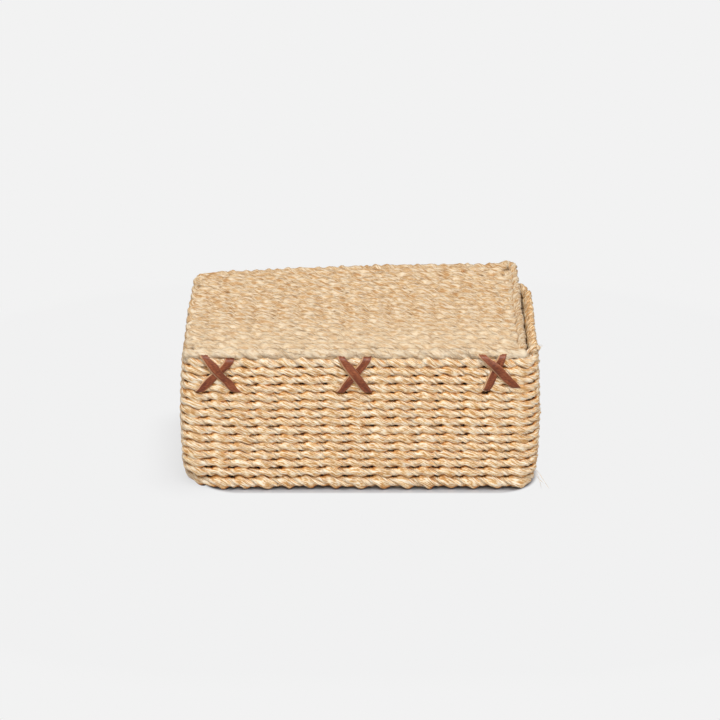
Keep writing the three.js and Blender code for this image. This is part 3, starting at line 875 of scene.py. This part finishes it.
def thongTube(thong, middle, over, seed):
    rng = np.random.default_rng(seed)
    foot, head = thong[0], thong[-1]
    t = laces["thickness"] / 2
    side = 1 if foot[0] > middle else -1
    inside = -wall["halfDepth"] + wallHalf + t
    aside, inward, below = laces["tail"]
    points = [(middle + side * aside, inside + inward, foot[1] + below),
              (foot[0], inside, foot[1] - laces["holeDrop"])]
    for depth, rise in laces["dive"]:
        points.append((foot[0], frontAt(foot[1]) - t + depth, foot[1] + rise))
    line, _ = resample([(x, 0, z) for x, z in thong], laces["faceStep"], False)
    line = smoothed(line, laces["faceSmooth"])
    for x, _, z in line[line[:, 2] > foot[1] + laces["diveTop"]]:
        away = over * laces["overlap"] * math.exp(-((x - middle) / laces["overlapReach"]) ** 2)
        sunk = laces["headDip"] * max(0, 1 - (head[1] - z) / laces["dipReach"]) ** 2
        points.append((x, frontAt(z) - t - away + sunk, z))
    aside, inward, tuckZ = laces["tuck"]
    points.append((head[0], ropeY - laces["hook"][0], head[1] + laces["hook"][1]))
    points.append((head[0], -wall["halfDepth"] + laces["backInset"], laces["ropeFoot"]))
    points.append((middle - side * aside, inside + inward, tuckZ))
    dense, along = resample(points, laces["step"], False)
    dense = smoothed(dense, laces["smooth"])
    forward = tangents(dense, False)
    level = np.array([1.0, 0, 0])
    second = unit(np.cross(forward, level))
    upright = (head[1] - foot[1]) / math.dist(head, foot)
    turn = 2 * np.pi * np.arange(laces["around"] + 1) / laces["around"]
    longSide, flatSide = (np.sign(part) * np.abs(part) ** power
                          for part, power in zip((np.cos(turn), np.sin(turn)), laces["square"]))
    size = np.ones(len(dense))
    size[[0, -1]] = 0  # closes the ends
    reach = laces["narrowReach"]
    narrow = 1 - laces["headNarrow"][over] * fade(dense[:, 2], head[1] - reach, reach)
    narrow -= laces["footNarrow"] * fade(dense[:, 2], foot[1] + reach, -reach)
    wide = laces["width"][over] / upright / 2 * size * narrow
    wide = wide * (1 + wander(rng, along, along[-1], laces["unevenWave"], laces["uneven"]))
    breadth = wide[:, None] * longSide - laces["bevel"] * size[:, None] * flatSide
    rings = (dense[:, None, :] + level * breadth[:, :, None]
             + second[:, None, :] * (t * size[:, None] * flatSide)[:, :, None])
    edge = np.tile((np.abs(np.cos(turn)) > laces["rawShare"]).astype(float), (len(dense), 1))
    return {
        "rings": rings,
        "uvSize": (2 * (laces["width"][over] + laces["thickness"]), along[-1]),
        "uvStart": rng.uniform(0, uvSpread, 2),
        "values": {"edge": edge},
    }


for i, (place, thongs) in enumerate(laces["crosses"].items()):
    middle = np.mean([thong[end][0] for thong in thongs for end in (0, -1)])
    tubes = [thongTube(thong, middle, over, laces["seed"] + laces["overSeed"] * over + i)
             for over, thong in enumerate(thongs)]
    joinTubes(f"lace_{place}_leather", tubes, leather, "box", [f"lace_{place}"])
print("laces tied")

# Loose fibres: short ends that lift off the strands all over, and a few long ones at the front right.
fuzz = {
    "radius": 0.13,
    "around": 3,
    "step": 1.6,
    "stride": (0.6, 1.9),  # rings of the strand between a fibre's points
    "drift": 0.7,  # round the strand
    "lift": 0.4,
    "liftShares": (0.2, 1.0),  # of that, at the middle and the end of one
    "points": 5,
    "clearRings": 10,  # left free at a strand's end
    "sink": 0.05,  # by which the ends start inside the strand
    "paintedLitShare": 0.8,  # only the parts of a strand with little painted shade, which lie free, carry them
    "tones": (-0.1, 0.1, 0.25),
    "wallCount": 2200,
    "wallSeed": 700,
    "lidCount": 2600,
    "lidSeed": 710,
    "ropeCount": 700,
    "ropeSeed": 715,
    "strays": [  # long ends at the front right: on the rim and at the foot
        [(110.2, -40, 90.5), (112.4, -41, 91.6), (114.6, -41.6, 91.2)],
        [(110.2, -42, 90.2), (112.0, -43.5, 91.4), (113.8, -45, 92.0)],
        [(108.8, -50, 13), (113.5, -54, 8.5), (119.4, -59, 0.4)],
        [(109.0, -48, 11), (112.5, -52, 7), (114.6, -58, 0.4)],
        [(109.0, -46, 8), (113.0, -50, 3.5), (116.5, -50.5, 0.4)],
    ],
    "strayStep": 2.0,
    "strayTone": 0.25,
    "straySeed": 720,
}
knot = {  # the rim's end, tucked in beside the hinge rope
    "points": [(103.0, -58.0, 89.0), (103.5, -57.5, 93.6), (106.5, -54.5, 95.2), (109.3, -52.5, 95.8),
               (111.0, -54.5, 95.2), (109.6, -57.2, 94.6), (107.6, -56.2, 94.0), (106.8, -55.0, 89.0)],
    "radius": 1.1,
    "step": 0.7,
    "seed": 730,
}


def looseFibres(tubes, count, seed):
    rng = np.random.default_rng(seed)
    sizes = np.array([tube["rings"].shape[0] for tube in tubes], float)
    last = fuzz["points"] - 1
    fibres = []
    for index in rng.choice(len(tubes), count, p=sizes / sizes.sum()):
        rings, paintedLitShare = tubes[index]["rings"], tubes[index]["values"]["paintedLitShare"]
        around = rings.shape[1] - 1
        row = rng.integers(1, rings.shape[0] - fuzz["clearRings"])
        column = rng.choice(np.flatnonzero(paintedLitShare[row, :-1] > fuzz["paintedLitShare"]))
        stride, drift = rng.uniform(*fuzz["stride"]), rng.normal(0, fuzz["drift"])
        lift, end = rng.uniform(*fuzz["liftShares"], 2) * fuzz["lift"]
        points = []
        for s in range(fuzz["points"]):  # an arc from its root to its end
            ring = rings[row + round(s * stride)]
            spot = ring[round(column + s * drift) % around]
            out = unit(spot - ring[:-1].mean(axis=0))
            height = lift * s * (last - s) / last + end * (s / last) ** 2 - fuzz["sink"]
            points.append(spot + out * height)
        fibres.append(cordTube(points, fuzz["radius"], rng.integers(1000000), around=fuzz["around"],
                               step=fuzz["step"], tone=rng.choice(fuzz["tones"])))
    return fibres


tubes = looseFibres(wallTubes + rimTubes, fuzz["wallCount"], fuzz["wallSeed"])
for i, points in enumerate(fuzz["strays"]):
    tubes.append(cordTube(points, fuzz["radius"], fuzz["straySeed"] + i, around=fuzz["around"],
                          step=fuzz["strayStep"], tone=fuzz["strayTone"]))
tubes.append(cordTube(knot["points"], knot["radius"], knot["seed"], step=knot["step"]))
joinTubes("wallFuzz", tubes, wallStraw, "box")
tubes = looseFibres(lidTubes + ropeTubes, fuzz["lidCount"], fuzz["lidSeed"])
tubes += looseFibres(ropeTubes, fuzz["ropeCount"], fuzz["ropeSeed"])
joinTubes("lidFuzz", tubes, lidStraw, "lid")
print("fuzz raised")

# Floor, light and camera
studio = {
    "background": "f2f2f2",
    "floorAlbedo": "c6c8cc",
    "floorSize": 4.0,  # half its side, in metres
    "glow": 0.97,  # share of plain background in the floor that the camera sees, none near the box
    "glowLeft": 0.75,  # and less of it by the left end, where a soft shadow shows
    "glowLeftReach": 40,
    "glowShift": 5,  # the dark of the shadow stops short of the left corner
    "glowStart": 2.8,  # outside the middle of the wall
    "glowReach": 3.2,
    "glowCorner": 22,  # its corners are rounder than the wall's
    "plainStart": 10,  # and all of it further off
    "plainReach": 250,
    "ambient": 0.36,
    "lampAngle": 40,  # degrees that each lamp is wide, for soft shadows
    "lamps": {"key": (2.42, (0.15, -0.92, 1.1)), "fill": (0.35, (-0.5, -0.3, 1.0))},  # strength, from where
}
bm = bmesh.new()
bmesh.ops.create_grid(bm, x_segments=1, y_segments=1, size=studio["floorSize"])
floorMesh = bpy.data.meshes.new("floor")
bm.to_mesh(floorMesh)
bm.free()
floor = bpy.data.objects.new("floor", floorMesh)
scene.collection.objects.link(floor)
floorPaint, tree = newMaterial("matt_white_paper")  # matt paper that keeps only the shadow by the box
spot = addNode(tree, "ShaderNodeTexCoord").outputs["Object"]


# Distance on the floor from a rectangle whose middle is on the X axis, in metres.
def floorDistance(centreX, halfLength, halfDepth):
    place = spot
    for operation, other in (("SUBTRACT", (centreX * mm, 0, 0)), ("ABSOLUTE", (0, 0, 0)),
                             ("SUBTRACT", (halfLength * mm, halfDepth * mm, 0)), ("MAXIMUM", (0, 0, 0))):
        place = addNode(tree, "ShaderNodeVectorMath", {0: place, 1: other}, operation=operation).outputs[0]
    return addNode(tree, "ShaderNodeVectorMath", {0: place}, operation="LENGTH").outputs["Value"]


corner = studio["glowCorner"]
innerDepth = wall["halfDepth"] - corner
fromBox = floorDistance(studio["glowShift"], wall["halfLength"] - studio["glowShift"] - corner, innerDepth)
fromLeft = floorDistance(-wall["halfLength"], 0, innerDepth)
near, most, far = (addNode(tree, "ShaderNodeMapRange", {
    "Value": value, "From Min": start * mm, "From Max": (start + reach) * mm,
    "To Min": lowest, "To Max": highest,
}, interpolation_type="SMOOTHSTEP").outputs["Result"] for value, start, reach, lowest, highest in (
    (fromBox, corner + studio["glowStart"], studio["glowReach"], 0.0, 1.0),
    (fromLeft, 0, studio["glowLeftReach"], studio["glowLeft"], studio["glow"]),
    (fromBox, corner + studio["plainStart"], studio["plainReach"], 0.0, 1.0),
))
glowing = addNode(tree, "ShaderNodeMath", {0: near, 1: most}, operation="MULTIPLY").outputs[0]
glowing = addNode(tree, "ShaderNodeMath", {0: glowing, 1: far}, operation="MAXIMUM").outputs[0]
ray = addNode(tree, "ShaderNodeLightPath").outputs
share = addNode(tree, "ShaderNodeMath", {0: ray["Is Camera Ray"], 1: glowing},
                operation="MULTIPLY").outputs[0]
paper = addNode(tree, "ShaderNodeBsdfDiffuse", {"Color": linear(studio["floorAlbedo"])}).outputs[0]
glow = addNode(tree, "ShaderNodeEmission", {"Color": linear(studio["background"])}).outputs[0]
seen = addNode(tree, "ShaderNodeMixShader", {0: share, 1: paper, 2: glow}).outputs[0]
addNode(tree, "ShaderNodeOutputMaterial", {"Surface": seen})
floor.data.materials.append(floorPaint)

world = bpy.data.worlds.new("studio")
scene.world = world
world.use_nodes = True
tree = world.node_tree
tree.nodes.clear()
light = addNode(tree, "ShaderNodeBackground", {
    "Color": (1, 1, 1, 1), "Strength": studio["ambient"],
}).outputs[0]
shown = addNode(tree, "ShaderNodeBackground", {"Color": linear(studio["background"])}).outputs[0]
ray = addNode(tree, "ShaderNodeLightPath").outputs
seen = ray["Is Camera Ray"]
for kind in ("Is Glossy Ray", "Is Transmission Ray"):
    seen = addNode(tree, "ShaderNodeMath", {0: seen, 1: ray[kind]}, operation="MAXIMUM").outputs[0]
both = addNode(tree, "ShaderNodeMixShader", {0: seen, 1: light, 2: shown}).outputs[0]
addNode(tree, "ShaderNodeOutputWorld", {"Surface": both})

for name, (strength, source) in studio["lamps"].items():
    lamp = bpy.data.lights.new(name, "SUN")
    lamp.energy = strength
    lamp.angle = math.radians(studio["lampAngle"])
    holder = bpy.data.objects.new(name, lamp)
    holder.rotation_euler = Vector(source).to_track_quat("Z", "Y").to_euler()
    scene.collection.objects.link(holder)

view = {
    "elevation": 23.45,
    "distance": 1814.5,
    "aimHeight": 45,
    "dip": 0.551,  # degrees by which the camera aims lower still
    "focalPixels": 2818,
    "pixels": 720,
    "sensor": 36,
}
lens = bpy.data.cameras.new("camera")
lens.sensor_width = view["sensor"]
lens.lens = view["focalPixels"] / view["pixels"] * view["sensor"]
camera = bpy.data.objects.new("camera", lens)
rise = math.radians(view["elevation"])
camera.location = (0, -view["distance"] * math.cos(rise) * mm,
                   (view["aimHeight"] + view["distance"] * math.sin(rise)) * mm)
camera.rotation_euler = (math.radians(90 - view["elevation"] + view["dip"]), 0, 0)
scene.collection.objects.link(camera)
scene.camera = camera
scene.view_settings.view_transform = "Standard"
print("studio set")
